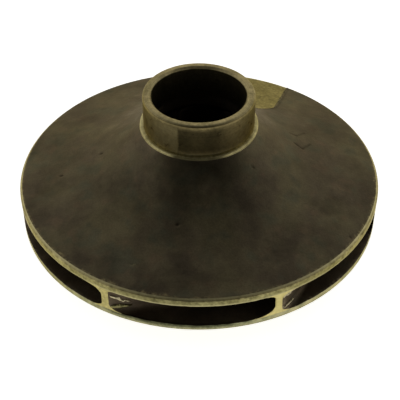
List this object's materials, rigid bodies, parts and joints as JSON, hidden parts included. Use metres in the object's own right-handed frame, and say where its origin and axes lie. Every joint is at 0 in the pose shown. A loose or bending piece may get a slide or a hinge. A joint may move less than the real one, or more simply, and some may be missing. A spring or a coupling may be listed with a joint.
{
  "type": "closed pump impeller",
  "caption": "Closed centrifugal pump impeller in cast bronze, with a tall suction neck, a flared front shroud and backward-curved vanes between two shrouds.",
  "frame": {"origin": "centre of the hub's back face, on the shaft axis", "axes": "+Z along the shaft axis, from the hub towards the suction eye; the picture's camera stands on the -Y side"},
  "size_m": [0.178, 0.178, 0.0734],
  "materials": {
    "cast_bronze_patina": "as-cast bronze skin, darkened to an olive brown patina",
    "machined_bronze": "turned bronze, dulled by use, with fine turning marks",
    "passage_bronze": "as-cast bronze in the water passages, dark and matt"
  },
  "bodies": {
    "root": {"front_shroud": "cast_bronze_patina", "suction_neck": "machined_bronze", "back_shroud": "machined_bronze", "hub": "machined_bronze", "vane_1": "passage_bronze", "vane_2": "passage_bronze", "vane_3": "passage_bronze", "vane_4": "passage_bronze", "vane_5": "passage_bronze", "vane_6": "passage_bronze", "vane_7": "passage_bronze"}
  },
  "joints": []
}
